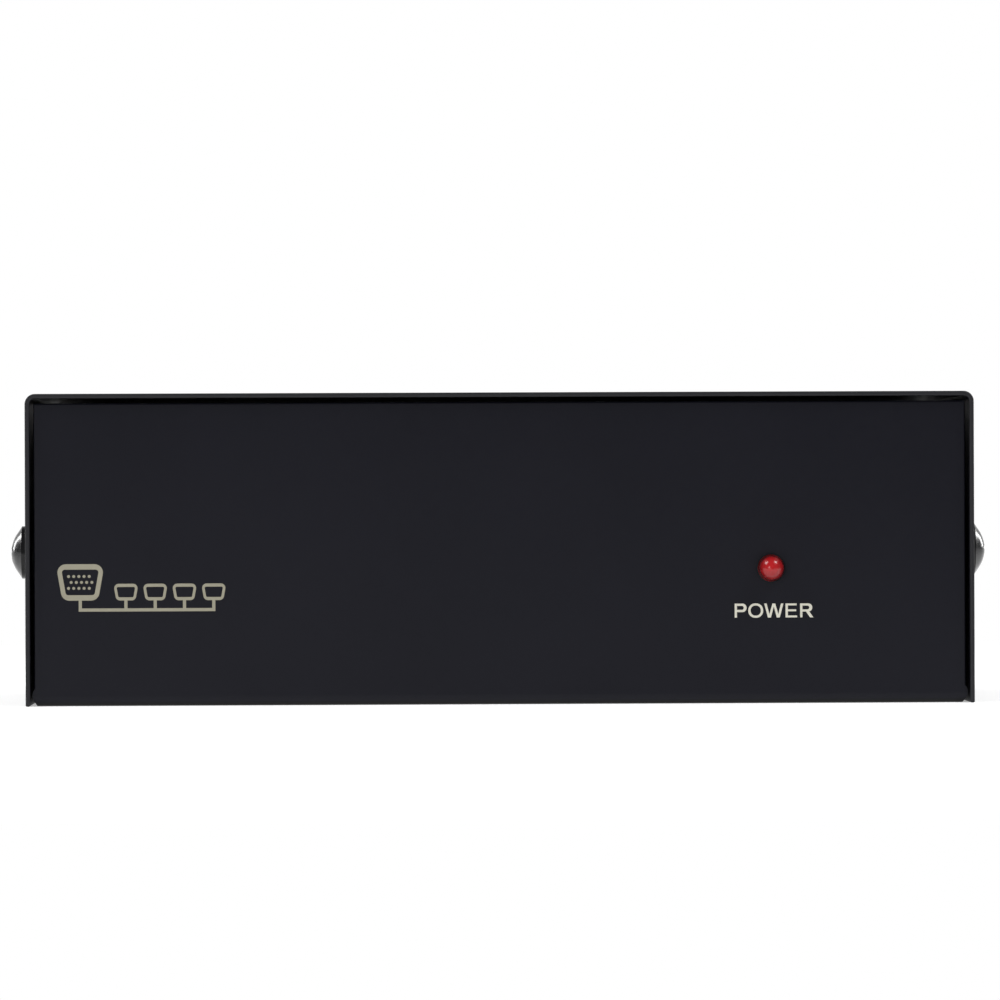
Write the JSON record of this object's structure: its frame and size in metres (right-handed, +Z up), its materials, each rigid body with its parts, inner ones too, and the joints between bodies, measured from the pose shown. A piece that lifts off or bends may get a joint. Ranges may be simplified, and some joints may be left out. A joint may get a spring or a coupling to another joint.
{
  "type": "vga splitter",
  "caption": "Desktop VGA video splitter: folded black steel case, video input and stacked outputs at the rear, barrel power inlet, and a red power lamp on the plain front.",
  "frame": {"origin": "middle of the flat bottom that the case stands on", "axes": "+X along the case width, to the right of someone who faces the front panel; +Y from the front panel to the ports at the rear; +Z up"},
  "size_m": [0.1296, 0.0745, 0.0411],
  "materials": {
    "case_paint": "satin black paint with a fine texture on folded steel",
    "screw_paint": "gloss black oxide and lacquer",
    "nickel": "bright nickel plate",
    "zinc": "zinc plate",
    "tin": "tinned copper",
    "blue_insulator": "moulded blue polyester",
    "black_plastic": "moulded black polyester",
    "chip_plastic": "moulded black epoxy",
    "gold": "gold flash on copper alloy",
    "lens": "tinted red epoxy, clear enough to see into",
    "board": "green solder mask on glass laminate",
    "can": "drawn aluminium",
    "sleeve": "dark shrunk sleeve",
    "resistor": "glazed black element on ceramic",
    "ceramic": "tan ceramic"
  },
  "bodies": {
    "case": {"amp_leads": "tin", "base_tray": "case_paint", "board_locks": "tin", "board_screws": "zinc", "board_standoffs": "zinc", "capacitor_cans": "can", "capacitor_sleeves": "sleeve", "chip_capacitors": "ceramic", "chip_resistors": "resistor", "circuit_board": "board", "cover_screws": "screw_paint", "flange_nuts": "nickel", "in_body": "black_plastic", "in_insulator": "blue_insulator", "in_pins": "gold", "in_shell": "nickel", "inlet_housing": "black_plastic", "inlet_leaf_terminal": "tin", "inlet_pin": "nickel", "inlet_switch_contact": "tin", "jackscrews": "nickel", "lamp_holder": "black_plastic", "lamp_leads": "tin", "lamp_lens": "lens", "out1_contacts": "gold", "out1_insulator": "blue_insulator", "out1_shell": "nickel", "out2_contacts": "gold", "out2_insulator": "blue_insulator", "out2_shell": "nickel", "out3_contacts": "gold", "out3_insulator": "blue_insulator", "out3_shell": "nickel", "out4_contacts": "gold", "out4_insulator": "blue_insulator", "out4_shell": "nickel", "protection_diode": "chip_plastic", "rear_insulators": "blue_insulator", "regulator_body": "chip_plastic", "regulator_tab": "tin", "stack_body_a": "black_plastic", "stack_body_b": "black_plastic", "sync_buffer": "chip_plastic", "sync_buffer_leads": "tin", "top_cover": "case_paint", "video_amp_1": "chip_plastic", "video_amp_2": "chip_plastic", "video_amp_3": "chip_plastic", "video_amp_4": "chip_plastic"},
    "leaf": {"inlet_leaf": "tin"}
  },
  "joints": [
    {"name": "inlet_leaf_bend", "type": "hinge", "parent": "case", "child": "leaf", "pos_m": [0.05227, 0.0241, 0.0084], "axis": [-1, 0, 0], "range_deg": [0, 6], "stiffness_Nm_per_rad": 0.05}
  ]
}
